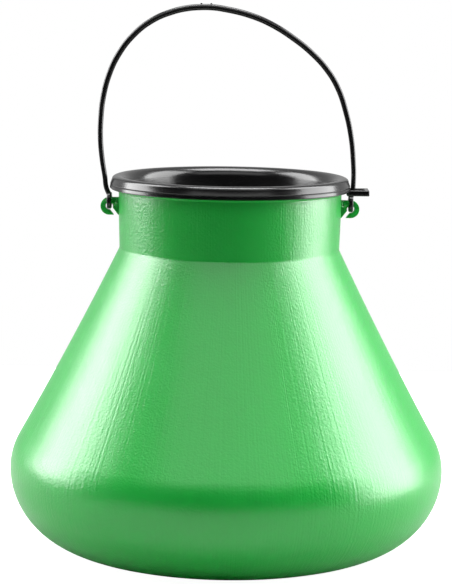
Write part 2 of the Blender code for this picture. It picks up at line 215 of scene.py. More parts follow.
def turned(name: str, profile: Sequence[Point2], steps: int) -> bpy.types.Object:
    """Extrudes a point along a profile in the XZ plane and spins it about Z.

    Args:
        name: the object's name.
        profile: (radius, height) points; a profile that starts and ends on the axis is closed by it.
        steps: faces round the axis.

    Returns:
        A closed mesh object with its faces outwards.
    """
    bpy.ops.object.select_all(action="DESELECT")
    bpy.ops.mesh.primitive_plane_add(size=2 * MM)
    obj = added(name)
    bpy.ops.object.mode_set(mode="EDIT")
    bpy.ops.mesh.select_all(action="SELECT")
    bpy.ops.mesh.merge(type="CENTER")
    points = [Vector((r, 0.0, z)) for r, z in profile]
    if profile[0][0] > NO_LENGTH:
        points.append(points[0])
    bpy.ops.transform.translate(value=points[0])
    for here, there in zip(points, points[1:]):
        bpy.ops.mesh.extrude_region_move(TRANSFORM_OT_translate={"value": there - here})
    bpy.ops.mesh.select_all(action="SELECT")
    bpy.ops.mesh.remove_doubles(threshold=MERGE)
    bpy.ops.mesh.spin(steps=steps, angle=math.tau, center=(0, 0, 0), axis=(0, 0, 1))
    bpy.ops.mesh.select_all(action="SELECT")
    bpy.ops.mesh.remove_doubles(threshold=2 * MERGE)
    bpy.ops.mesh.normals_make_consistent(inside=False)
    bpy.ops.object.mode_set(mode="OBJECT")
    return obj


def block(name: str, low: Sequence[float], high: Sequence[float]) -> bpy.types.Object:
    """Adds a box between two corners, as a start for a bar or a cut.

    Args:
        name: the object's name.
        low: the corner with the least x, y and z.
        high: the corner with the greatest.

    Returns:
        The box, settled at the origin.
    """
    bpy.ops.object.select_all(action="DESELECT")
    low, high = Vector(low), Vector(high)
    bpy.ops.mesh.primitive_cube_add(size=1.0, location=(low + high) / 2)
    obj = added(name)
    obj.scale = high - low
    return settle(obj)


def rod(
    name: str, centre: Sequence[float], radius: float, length: float, axis: str, sides: int
) -> bpy.types.Object:
    """Adds a cylinder, as a start for a hook, a nub or a cut.

    Args:
        name: the object's name.
        centre: the middle of the cylinder.
        radius: its radius.
        length: its length along the axis.
        axis: X, Y or Z.
        sides: faces round it.

    Returns:
        The cylinder, settled at the origin.
    """
    bpy.ops.object.select_all(action="DESELECT")
    turns = {"X": (0.0, math.pi / 2, 0.0), "Y": (math.pi / 2, 0.0, 0.0), "Z": (0.0, 0.0, 0.0)}
    bpy.ops.mesh.primitive_cylinder_add(
        vertices=sides, radius=radius, depth=length, location=centre, rotation=turns[axis]
    )
    return settle(added(name))


def spun(obj: bpy.types.Object, angle: float) -> bpy.types.Object:
    """Turns an object about the trap's axis and settles it there.

    Args:
        obj: the object.
        angle: the turn in radians.

    Returns:
        The same object.
    """
    obj.matrix_world = Matrix.Rotation(angle, 4, "Z") @ obj.matrix_world
    return settle(obj)


def arc(centre: Point2, radii: Point2, start: float, end: float, steps: int) -> list[Point2]:
    """Points of an elliptical arc in the profile plane.

    Args:
        centre: (radius, height) of the arc's centre.
        radii: half axes outwards and upwards.
        start: first angle in degrees from the outward direction.
        end: last angle in degrees.
        steps: spans along the arc.

    Returns:
        The points from start to end.
    """
    angles = [math.radians(start + (end - start) * i / steps) for i in range(steps + 1)]
    return [(centre[0] + radii[0] * math.cos(a), centre[1] + radii[1] * math.sin(a)) for a in angles]


def section_curve(width: float, height: float, edge: float) -> bpy.types.Object:
    """A rounded rectangle as the cross-section of a swept bar.

    Args:
        width: size along the section's first axis.
        height: size along its second axis.
        edge: radius of its corners.

    Returns:
        A closed flat curve.
    """
    bpy.ops.object.select_all(action="DESELECT")
    bpy.ops.curve.primitive_bezier_circle_add(radius=1.0)
    obj = added("section")
    data = obj.data
    data.splines.remove(data.splines[0])
    points: list[Point2] = []
    for quarter, (sx, sy) in enumerate(((1, 1), (-1, 1), (-1, -1), (1, -1))):
        centre = (sx * (width / 2 - edge), sy * (height / 2 - edge))
        points += arc(centre, (edge, edge), 90 * quarter, 90 * quarter + 90, steps=4)
    line = data.splines.new("POLY")
    line.points.add(len(points) - 1)
    for spot, (x, y) in zip(line.points, points):
        spot.co = (x, y, 0.0, 1.0)
    line.use_cyclic_u = True
    return obj


def swept(
    name: str,
    route: Sequence[Vector],
    section: bpy.types.Object,
    swell: Sequence[float] = (),
    ring: bool = False,
) -> bpy.types.Object:
    """Sweeps a cross-section along a smooth curve and makes it a closed mesh.

    Args:
        name: the object's name.
        route: points that the curve runs through.
        section: the cross-section, which is used up.
        swell: the section's scale at each point; one all along if empty.
        ring: whether the curve closes on itself.

    Returns:
        The swept mesh.
    """
    bpy.ops.object.select_all(action="DESELECT")
    bpy.ops.curve.primitive_bezier_curve_add()
    obj = added(name)
    data = obj.data
    data.dimensions = "3D"
    data.twist_mode = "MINIMUM"
    data.resolution_u = 8
    line = data.splines[0]
    line.bezier_points.add(len(route) - 2)
    for i, (spot, place) in enumerate(zip(line.bezier_points, route)):
        spot.co = place
        spot.handle_left_type = spot.handle_right_type = "AUTO"
        spot.radius = swell[i] if swell else 1.0
    line.use_cyclic_u = ring
    data.bevel_mode = "OBJECT"
    data.bevel_object = section
    data.use_fill_caps = not ring
    activate(obj)
    bpy.ops.object.convert(target="MESH")
    bpy.data.objects.remove(section)
    bpy.ops.object.mode_set(mode="EDIT")
    bpy.ops.mesh.select_all(action="SELECT")
    bpy.ops.mesh.remove_doubles(threshold=MERGE)
    bpy.ops.mesh.normals_make_consistent(inside=False)
    bpy.ops.object.mode_set(mode="OBJECT")
    return obj


# Finishes

# Depth of peel and lines at a strength of one
RELIEF_DEPTH = 0.2 * MM
# The flask's middle radius, which turns an angle into a length round it
LINE_RADIUS_MM = 60
# Height over which a drawn line wanders
LINE_WANDER = 0.12
# Half the width of the parting ridge at its top and at its foot, its height, and how strongly it shows
SEAM_TOP = 0.15 * MM
SEAM_FOOT = 0.6 * MM
SEAM_HEIGHT = 0.25 * MM
SEAM_STRENGTH = 0.8


def add_node(
    tree: bpy.types.NodeTree, kind: str, settings: dict[str, Any] | None = None, **inputs: Any
) -> bpy.types.Node:
    """Adds a shader node, sets its options and fills or links its inputs.

    Args:
        tree: the node tree.
        kind: the node's type name.
        settings: attribute values of the node.
        **inputs: values or output sockets by input name, with spaces as underscores, or by number as i0, i1.

    Returns:
        The new node.
    """
    node = tree.nodes.new(kind)
    for key, value in (settings or {}).items():
        setattr(node, key, value)
    for key, value in inputs.items():
        numbered = key[0] == "i" and key[1:].isdigit()
        socket = node.inputs[int(key[1:]) if numbered else key.replace("_", " ")]
        if isinstance(value, bpy.types.NodeSocket):
            tree.links.new(value, socket)
        else:
            socket.default_value = value
    return node


@dataclass(frozen=True)
class MouldedPlastic:
    """A moulded plastic: clouded pigment, orange peel, drawn lines and a gloss that varies a little."""

    name: str
    colour: str
    cloud_colour: str
    roughness: float
    roughness_swing: float
    ior: float
    peel_mm: float
    peel_strength: float
    cloud_mm: float = 30.0
    line_mm: float = 0.0
    line_strength: float = 0.0
    glow: float = 0.0
    glow_mm: tuple[float, float, float] = (1.0, 1.0, 1.0)
    seam: bool = False

    def make(self) -> bpy.types.Material:
        """Builds the node material.

        Returns:
            The material, on Object coordinates in metres.
        """
        finish = bpy.data.materials.new(self.name)
        finish.use_nodes = True
        tree = finish.node_tree
        shader = tree.nodes["Principled BSDF"]
        place = add_node(tree, "ShaderNodeTexCoord").outputs["Object"]

        clouds = add_node(
            tree, "ShaderNodeTexNoise", Vector=place,
            Scale=1 / (self.cloud_mm * MM), Detail=3.0, Roughness=0.55,
        ).outputs["Fac"]
        tint = add_node(
            tree, "ShaderNodeMix", {"data_type": "RGBA"}, Factor=clouds,
            i6=linear(self.colour), i7=linear(self.cloud_colour),
        )
        tree.links.new(tint.outputs[2], shader.inputs["Base Color"])
        gloss = add_node(
            tree, "ShaderNodeMapRange", Value=clouds,
            From_Min=0.3, From_Max=0.7,
            To_Min=self.roughness - self.roughness_swing, To_Max=self.roughness + self.roughness_swing,
        )
        tree.links.new(gloss.outputs["Result"], shader.inputs["Roughness"])
        shader.inputs["IOR"].default_value = self.ior
        shader.inputs["Metallic"].default_value = 0.0
        if self.glow:
            shader.inputs["Subsurface Weight"].default_value = self.glow
            shader.inputs["Subsurface Radius"].default_value = self.glow_mm
            shader.inputs["Subsurface Scale"].default_value = MM

        peel = add_node(
            tree, "ShaderNodeTexNoise", Vector=place, Scale=1 / (self.peel_mm * MM), Detail=2.0, Roughness=0.5
        )
        relief = add_node(
            tree, "ShaderNodeBump", Height=peel.outputs["Fac"], Strength=self.peel_strength,
            Distance=RELIEF_DEPTH,
        ).outputs["Normal"]
        if self.line_mm:
            relief = self.drawn_lines(tree, place, relief)
        if self.seam:
            relief = self.parting_seam(tree, place, relief)
        tree.links.new(relief, shader.inputs["Normal"])
        return finish

    def drawn_lines(
        self, tree: bpy.types.NodeTree, place: bpy.types.NodeSocket, relief: bpy.types.NodeSocket
    ) -> bpy.types.NodeSocket:
        """Adds the upright lines that the die draws into a blown parison.

        Args:
            tree: the material's node tree.
            place: Object coordinates.
            relief: the normal so far.

        Returns:
            The normal with the lines.
        """
        split = add_node(tree, "ShaderNodeSeparateXYZ", Vector=place)
        round_axis = add_node(
            tree, "ShaderNodeMath", {"operation": "ARCTAN2"}, i0=split.outputs["X"], i1=split.outputs["Y"]
        )
        times = {"operation": "MULTIPLY"}
        lines_in_angle = LINE_RADIUS_MM / self.line_mm
        along = add_node(tree, "ShaderNodeMath", times, i0=round_axis.outputs[0], i1=lines_in_angle)
        rise = add_node(tree, "ShaderNodeMath", times, i0=split.outputs["Z"], i1=1 / LINE_WANDER)
        spot = add_node(tree, "ShaderNodeCombineXYZ", X=along.outputs[0], Y=rise.outputs[0])
        lines = add_node(
            tree, "ShaderNodeTexNoise", Vector=spot.outputs[0], Scale=1.0, Detail=2.0, Roughness=0.6
        )
        return add_node(
            tree, "ShaderNodeBump", Height=lines.outputs["Fac"], Strength=self.line_strength,
            Distance=RELIEF_DEPTH, Normal=relief,
        ).outputs["Normal"]

    def parting_seam(
        self, tree: bpy.types.NodeTree, place: bpy.types.NodeSocket, relief: bpy.types.NodeSocket
    ) -> bpy.types.NodeSocket:
        """Adds the fine ridge where the mould's halves meet, in the plane of the hooks.

        Args:
            tree: the material's node tree.
            place: Object coordinates.
            relief: the normal so far.

        Returns:
            The normal with the ridge.
        """
        split = add_node(tree, "ShaderNodeSeparateXYZ", Vector=place)
        away = add_node(tree, "ShaderNodeMath", {"operation": "ABSOLUTE"}, i0=split.outputs["Y"])
        ridge = add_node(
            tree, "ShaderNodeMapRange", {"interpolation_type": "SMOOTHSTEP"}, Value=away.outputs[0],
            From_Min=SEAM_TOP, From_Max=SEAM_FOOT, To_Min=1.0, To_Max=0.0,
        )
        return add_node(
            tree, "ShaderNodeBump", Height=ridge.outputs["Result"], Strength=SEAM_STRENGTH,
            Distance=SEAM_HEIGHT, Normal=relief,
        ).outputs["Normal"]


# Blow-moulded high-density polyethylene: waxy, slightly translucent, with orange peel and upright die lines.
# Peel and lines are drawn coarser than real ones, so that they show. The index is above the plastic's own
# 1.54, to bring its highlights up to the object's.
GREEN_POLYETHYLENE = MouldedPlastic(
    name="blow_moulded_green_polyethylene", colour="#0BAD38", cloud_colour="#10B440", roughness=0.30,
    roughness_swing=0.02, ior=1.68, peel_mm=0.85, peel_strength=0.5, line_mm=0.7, line_strength=0.5,
    glow=0.2, glow_mm=(0.4, 2.2, 0.6), seam=True,
)
# Injection-moulded carbon-black polypropylene: a polished tool leaves a deep gloss with a faint flow texture.
BLACK_POLYPROPYLENE = MouldedPlastic(
    name="polished_black_polypropylene", colour="#070708", cloud_colour="#0C0C0D", roughness=0.22,
    roughness_swing=0.03, ior=1.49, peel_mm=0.9, peel_strength=0.12,
)
# The same polypropylene in a thin strap: a shade greyer, with a finer grain and nearly the same gloss.
GRAINED_POLYPROPYLENE = MouldedPlastic(
    name="fine_grained_black_polypropylene", colour="#101011", cloud_colour="#19191A", roughness=0.23,
    roughness_swing=0.03, ior=1.49, peel_mm=0.5, peel_strength=0.08, cloud_mm=8.0,
)
# Unpigmented polypropylene: milky, with light passing a little way into the wall.
NATURAL_POLYPROPYLENE = MouldedPlastic(
    name="natural_polypropylene", colour="#CECDC4", cloud_colour="#D8D7CF", roughness=0.4,
    roughness_swing=0.04, ior=1.49, peel_mm=0.7, peel_strength=0.15, cloud_mm=12.0,
    glow=0.4, glow_mm=(2.0, 1.9, 1.7),
)
# Natural rubber septum: matt, dusty, red-brown from iron oxide filler.
RED_RUBBER = MouldedPlastic(
    name="filled_red_rubber", colour="#8A3A2A", cloud_colour="#9A4836", roughness=0.78,
    roughness_swing=0.06, ior=1.52, peel_mm=0.4, peel_strength=0.5, cloud_mm=5.0,
)


def deliver(obj: bpy.types.Object, body: Body, finish: bpy.types.Material, node: str) -> None:
    """Gives a finished piece its material and hands it to the frame.

    Args:
        obj: the finished piece.
        body: the moving group it rides on.
        finish: its material.
        node: the CAD node it stands for.
    """
    settle(obj)
    obj.data.materials.clear()
    obj.data.materials.append(finish)
    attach(obj, body.value)
    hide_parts(node)
    log.info("%s rides on %s with %d faces", obj.name, body.value, len(obj.data.polygons))


# Sub-assemblies


@dataclass
class Flask:
    """The blow-moulded body with its two hooks."""

    wall: float = 1.6 * MM
    radius: float = 85.0 * MM
    widest_z: float = 31.4 * MM
    foot_radius: float = 52.0 * MM
    foot_ring: float = 8.0 * MM
    foot_recess: float = 3.0 * MM
    # Run of the recess's sloping edge for each unit of its depth
    recess_slope: float = 1.6
    shoulder_arc: float = 24.8 * MM
    cone_bow: float = 0.6 * MM
    cone_spans: int = 20
    neck_radius: float = 43.3 * MM
    neck_foot: float = 42.85 * MM
    neck_start_z: float = 118.0 * MM
    neck_fillet: float = 2.5 * MM
    neck_top_z: float = 143.5 * MM
    lip_radius: float = 44.6 * MM
    lip_height: float = 1.9 * MM
    lip_edge: float = 0.4 * MM
    lip_root: float = 2.0 * MM
    hook_x: float = 46.95 * MM
    hook_z: float = 134.05 * MM
    hook_radius: float = 3.4 * MM
    hook_hole: float = 1.45 * MM
    hook_plate: float = 2.4 * MM
    hook_mouth: float = 1.4 * MM
    hook_mouth_tilt: float = math.radians(38.0)
    steps: int = 160

    def outline(self) -> list[Point2]:
        """Draws the outer profile from the axis in the foot's recess up to the lip's top edge.

        Returns:
            The profile's points.
        """
        ring_inner = self.foot_radius - self.foot_ring
        step = self.foot_recess
        run = self.recess_slope * step
        points = [(0.0, step), (0.6 * ring_inner, step), (ring_inner - run, step)]
        points += [(ring_inner - 0.5 * run, 0.5 * step), (ring_inner, 0.0)]
        belly = (self.radius - self.foot_radius, self.widest_z)
        points += arc((self.foot_radius, self.widest_z), belly, -90, 0, steps=22)
        # The shoulder arc ends where the cone touches it and runs to the neck's start.
        centre = (self.radius - self.shoulder_arc, self.widest_z)
        reach = Vector((self.neck_foot - centre[0], self.neck_start_z - centre[1]))
        tangent = math.degrees(math.atan2(reach.y, reach.x) - math.acos(self.shoulder_arc / reach.length))
        points += arc(centre, (self.shoulder_arc, self.shoulder_arc), 0, tangent, steps=14)[1:]
        foot_of_cone = Vector(points[-1])
        fillet_z = self.neck_start_z + self.neck_fillet * math.tan(math.radians(tangent) / 2)
        fillet = (self.neck_fillet, self.neck_fillet)
        hollow = arc((self.neck_foot + self.neck_fillet, fillet_z), fillet, 180 + tangent, 180, steps=10)
        rise = Vector(hollow[0]) - foot_of_cone
        inwards = Vector((-rise.y, rise.x)).normalized()
        # The cone bows in a little from a straight line, most in its middle.
        for i in range(1, self.cone_spans):
            share = i / self.cone_spans
            bow = inwards * self.cone_bow * 4 * share * (1 - share)
            points.append(tuple(foot_of_cone + rise * share + bow))
        points += hollow
        points += [(self.neck_radius, self.hook_z)]
        flare = self.lip_radius - self.neck_radius
        under_lip = self.neck_top_z - self.lip_height
        points += [(self.neck_radius, under_lip - flare), (self.lip_radius, under_lip)]
        edge = self.lip_edge
        points += arc((self.lip_radius - edge, self.neck_top_z - edge), (edge, edge), 0, 90, steps=3)
        return points

    def inner(self, outer: Sequence[Point2]) -> list[Point2]:
        """Moves the outer profile inwards by the wall's thickness.

        Args:
            outer: the outer profile's points.

        Returns:
            As many points, inside the wall.
        """
        moved = []
        for i, point in enumerate(outer):
            here = Vector(point)
            before = here - Vector(outer[max(i - 1, 0)])
            after = Vector(outer[min(i + 1, len(outer) - 1)]) - here
            sides = [Vector((-d.y, d.x)).normalized() for d in (before, after) if d.length > NO_LENGTH]
            normal = sum(sides, Vector((0, 0))).normalized()
            shifted = here + normal * self.wall / max(normal.dot(sides[0]), CORNER_LIMIT)
            moved.append((shifted.x if point[0] > NO_LENGTH else 0.0, shifted.y))
        return moved

    def shell(self) -> bpy.types.Object:
        """Turns the hollow shell.

        Returns:
            The shell, without its hooks.
        """
        outer = self.outline()
        lip = [(self.neck_radius - self.wall, self.neck_top_z)]
        # Below the lip's root the inside follows the outside, and above it the bore runs straight up.
        root_z = self.neck_top_z - self.lip_height - self.lip_root
        inside = [p for p in self.inner(outer) if p[1] < root_z]
        return turned("flask_shell", outer + lip + inside[::-1], self.steps)

    def hook(self, side: int) -> bpy.types.Object:
        """Models one open C hook and its web.

        Args:
            side: -1 for the left, 1 for the right.

        Returns:
            The hook, with rounded edges.
        """
        x = side * self.hook_x
        centre = (x, 0, self.hook_z)
        hook = rod(f"hook_{side}", centre, self.hook_radius, self.hook_plate, "Y", sides=64)
        root = self.neck_radius - self.wall / 2
        low = (min(side * root, x), -self.hook_plate / 2, self.hook_z - self.hook_radius)
        high = (max(side * root, x), self.hook_plate / 2, self.hook_z + self.hook_radius)
        boolean(hook, block("web", low, high), Cut.JOIN)
        hole = rod("hole", centre, self.hook_hole, 2 * self.hook_plate, "Y", sides=48)
        boolean(hook, hole, Cut.REMOVE)
        reach = 2.5 * self.hook_radius
        half = self.hook_mouth / 2
        mouth = block("mouth", (-half, -self.hook_plate, -reach), (half, self.hook_plate, 0))
        tilt = Matrix.Rotation(side * self.hook_mouth_tilt, 4, "Y")
        mouth.matrix_world = Matrix.Translation(centre) @ tilt
        boolean(hook, settle(mouth), Cut.REMOVE)
        return rounded(hook, EDGE_BREAK)

    def build(self, finish: bpy.types.Material) -> None:
        """Models the flask in one piece with its hooks and delivers it.

        Args:
            finish: the flask's material.
        """
        shell = self.shell()
        for side in (-1, 1):
            boolean(shell, self.hook(side), Cut.JOIN)
        deliver(smooth(shell), Body.FLASK, finish, "trap_flask")


@dataclass
class FunnelLid:
    """The push-in funnel with its rim and the loop for the bail's leg."""

    flask: Flask
    wall: float = 1.6 * MM
    rim_radius: float = 46.8 * MM
    rim_top_radius: float = 46.0 * MM
    rim_bottom_z: float = 141.3 * MM
    rim_edge_z: float = 144.9 * MM
    crest_z: float = 146.3 * MM
    crest_radius: float = 43.8 * MM
    rim_edge: float = 0.4 * MM
    mouth_roll: float = 4.0 * MM
    collar_radius: float = 38.1 * MM
    collar_z: float = 126.0 * MM
    throat_radius: float = 16.0 * MM
    throat_z: float = 97.0 * MM
    throat_length: float = 5.0 * MM
    throat_edge: float = 0.3 * MM
    # The bend into the throat starts this far out and up from its corner, and ends this far down
    throat_bend: Point2 = (0.6 * MM, 0.9 * MM)
    throat_bend_end: float = 0.8 * MM
    plug_depth: float = 3.4 * MM
    groove: float = 0.25 * MM
    # Heights above the rim's foot in millimetres, each with its depth as a multiple of the groove's size
    groove_steps: tuple[Point2, ...] = ((1.4, 0.5), (1.55, 1.3), (1.7, 1.3), (1.95, 0.7))
    # Heights of the rings of faces down the funnel, in millimetres
    funnel_rings: tuple[float, ...] = (138, 132, 127.2, 124.6, 118, 110, 102)
    loop_bar: float = 1.7 * MM
    loop_height: float = 2.2 * MM
    loop_edge: float = 0.4 * MM
    loop_bottom_z: float = 139.6 * MM
    loop_reach: float = 53.9 * MM
    loop_root: float = 45.2 * MM
    slot_start: float = 45.9 * MM
    slot_width: float = 7.6 * MM
    steps: int = 160

    def mouth_end(self) -> Point2:
        """Where the rolled mouth hands over to the funnel's collar."""
        return self.crest_radius - self.mouth_roll, self.crest_z - self.mouth_roll

    def funnel_radius(self, z: float) -> float:
        """Radius of the funnel's inner wall at a height: a cone above the throat, then a steep collar.

        Args:
            z: height in metres, between the throat and the mouth.

        Returns:
            The radius in metres.
        """
        top_r, top_z = self.mouth_end()
        low_r, low_z = self.throat_radius, self.throat_z
        if z > self.collar_z:
            low_r, low_z = self.collar_radius, self.collar_z
        else:
            top_r, top_z = self.collar_radius, self.collar_z
        return low_r + (top_r - low_r) * (z - low_z) / (top_z - low_z)

    def outline(self) -> list[Point2]:
        """Draws the rim, the rolled mouth, the funnel, the throat and the channel over the flask's lip.

        Returns:
            The closed profile's points.
        """
        mouth_r, mouth_z = self.mouth_end()
        channel_z = self.flask.neck_top_z + SEAT_GAP
        skirt_r = self.flask.lip_radius + SEAT_GAP
        plug_r = self.flask.neck_radius - self.flask.wall - SEAT_GAP
        plug_end = channel_z - self.plug_depth
        steep = math.atan2(mouth_r - self.collar_radius, mouth_z - self.collar_z)
        lean = math.atan2(self.collar_radius - self.throat_radius, self.collar_z - self.throat_z)
        across = self.wall / math.cos(lean)
        throat_end = self.throat_z - self.throat_length
        bottom = self.rim_bottom_z
        points = [(skirt_r, bottom), (self.rim_radius - self.rim_edge, bottom)]
        points += [(self.rim_radius, bottom + self.rim_edge)]
        # A fine groove parts the rim's upright lower band from the band that leans in to the crest.
        for height, depth in self.groove_steps:
            points.append((self.rim_radius - depth * self.groove, bottom + height * MM))
        crest = (self.rim_top_radius - self.crest_radius, self.crest_z - self.rim_edge_z)
        points += arc((self.crest_radius, self.rim_edge_z), crest, 0, 90, steps=10)
        roll = (self.mouth_roll, self.mouth_roll)
        roll_end = 180 - math.degrees(steep)
        points += arc((mouth_r + self.mouth_roll, mouth_z), roll, 90, roll_end, steps=12)[1:]
        points += [(self.funnel_radius(z * MM), z * MM) for z in self.funnel_rings]
        throat = self.throat_radius
        bend_out, bend_up = self.throat_bend
        points += [(throat + bend_out, self.throat_z + bend_up)]
        points += [(throat, self.throat_z - self.throat_bend_end)]
        points += [(throat, throat_end + self.throat_edge), (throat + 0.5 * self.wall, throat_end)]
        points += [(throat + self.wall, throat_end + self.throat_edge), (throat + across, self.throat_z)]
        points += [(self.collar_radius + across, self.collar_z)]
        points += [(min(self.funnel_radius(plug_end) + self.wall, plug_r), plug_end)]
        points += [(plug_r, plug_end + self.wall), (plug_r, channel_z), (skirt_r, channel_z)]
        return points

    def loop(self) -> bpy.types.Object:
        """Models the loop as a frame of rounded bars round its slot.

        Returns:
            The loop.
        """
        half = self.slot_width / 2 + self.loop_bar
        low = (self.loop_root, -half, self.loop_bottom_z)
        frame = block("loop", low, (self.loop_reach, half, self.loop_bottom_z + self.loop_height))
        inner_half = self.slot_width / 2
        inner_low = (self.slot_start, -inner_half, self.loop_bottom_z - self.loop_height)
        inner_high = (self.loop_reach - self.loop_bar, inner_half, self.loop_bottom_z + 2 * self.loop_height)
        boolean(frame, block("slot", inner_low, inner_high), Cut.REMOVE)
        return rounded(frame, self.loop_edge)

    def build(self, finish: bpy.types.Material) -> None:
        """Models the lid in one piece with its loop and delivers it.

        Args:
            finish: the lid's material.
        """
        lid = turned("lid_funnel", self.outline(), self.steps)
        half = self.slot_width / 2
        notch_low = (self.slot_start, -half, self.loop_bottom_z - self.loop_height)
        notch = block("notch", notch_low, (self.loop_reach, half, self.crest_z + self.loop_height))
        boolean(lid, notch, Cut.REMOVE)
        boolean(lid, self.loop(), Cut.JOIN)
        deliver(smooth(lid), Body.LID, finish, "funnel_lid")


@dataclass
class Bail:
    """The strap bail: a bent strap, an eye at each end and two nubs on the crown."""

    flask: Flask
    width: float = 3.2 * MM
    leg: float = 1.8 * MM
    crown: float = 2.4 * MM
    crown_x: float = -10.2 * MM
    crown_z: float = 211.3 * MM
    strap_edge: float = 0.75 * MM
    # Share of an eye's bar that the strap's end runs into
    strap_seat: float = 0.75
    eye_bar: float = 1.5 * MM
    eye_edge: float = 0.5 * MM
    eye_points: int = 20
    eye_width: float = 7.6 * MM
    eye_bottom_z: float = 133.0 * MM
    eye_top_z: float = 139.4 * MM
    # Power of sine and cosine along an eye: one is an ellipse, and less is squarer
    eye_squareness: float = 0.62
    nub: float = 0.45 * MM
    nub_gap: float = 3.8 * MM
    nub_edge: float = 0.2 * MM
    # Share of the strap's width that a nub spans
    nub_span: float = 0.7
    # Centre line of the strap as it stands flexed, from the left eye over the crown, in millimetres
    route: tuple[Point2, ...] = (
        (-48.2, 141.2), (-48.8, 145.6), (-49.8, 151.6), (-50.6, 160.0), (-50.5, 168.0), (-49.6, 176.4),
        (-47.4, 185.0), (-43.8, 192.8), (-38.2, 200.2), (-31.0, 206.0), (-23.0, 209.5), (-17.0, 210.9),
        (-12.7, 211.3), (-7.7, 211.3), (-3.6, 210.8), (6.9, 208.4), (15.0, 205.1), (23.4, 200.0),
        (30.7, 194.3), (36.9, 187.7), (41.1, 180.9), (44.3, 172.0), (46.6, 162.0), (47.6, 153.0),
        (47.9, 146.0), (47.6, 141.2),
    )

    def strap(self) -> bpy.types.Object:
        """Sweeps the strap from eye to eye, thicker towards the crown.

        Returns:
            The strap, its ends inside the tops of the eyes.
        """
        end_z = self.eye_top_z - self.strap_seat * self.eye_bar
        left, right = (Vector((side * self.flask.hook_x, 0, end_z)) for side in (-1, 1))
        points = [left, *(Vector((x, 0, z)) * MM for x, z in self.route), right]
        low = self.route[0][1] * MM
        rise = self.crown_z - low
        more = self.crown / self.leg - 1
        swell = [1 + more * min(max((p.z - low) / rise, 0.0), 1.0) for p in points]
        return swept("bail_strap", points, section_curve(self.width, self.leg, self.strap_edge), swell)

    def eye(self, side: int) -> bpy.types.Object:
        """Sweeps one ring, upright across the strap.

        Args:
            side: -1 for the left, 1 for the right.

        Returns:
            The closed ring.
        """
        middle_z = (self.eye_bottom_z + self.eye_top_z) / 2
        half_w = (self.eye_width - self.eye_bar) / 2
        half_h = (self.eye_top_z - self.eye_bottom_z - self.eye_bar) / 2
        points = []
        for i in range(self.eye_points):
            a = math.tau * i / self.eye_points
            y, z = (math.copysign(abs(c) ** self.eye_squareness, c) for c in (math.cos(a), math.sin(a)))
            points.append(Vector((side * self.flask.hook_x, half_w * y, middle_z + half_h * z)))
        section = section_curve(self.leg, self.eye_bar, self.eye_edge)
        return swept(f"eye_{side}", points, section, ring=True)

    def nubs(self) -> list[bpy.types.Object]:
        """Models the two rounded cross nubs on the crown.

        Returns:
            The left nub and the right one.
        """
        made = []
        for side in (-1, 1):
            centre = (self.crown_x + side * self.nub_gap / 2, 0, self.crown_z + self.crown / 2)
            nub = rod(f"nub_{side}", centre, self.nub, self.nub_span * self.width, "Y", sides=24)
            made.append(rounded(nub, self.nub_edge))
        return made

    def build(self, finish: bpy.types.Material) -> None:
        """Models the bail in one piece and delivers it.

        Args:
            finish: the bail's material.
        """
        bail = self.strap()
        for part in (self.eye(-1), self.eye(1), *self.nubs()):
            boolean(bail, part, Cut.JOIN)
        deliver(smooth(bail, angle=40.0), Body.BAIL, finish, "bail_handle")


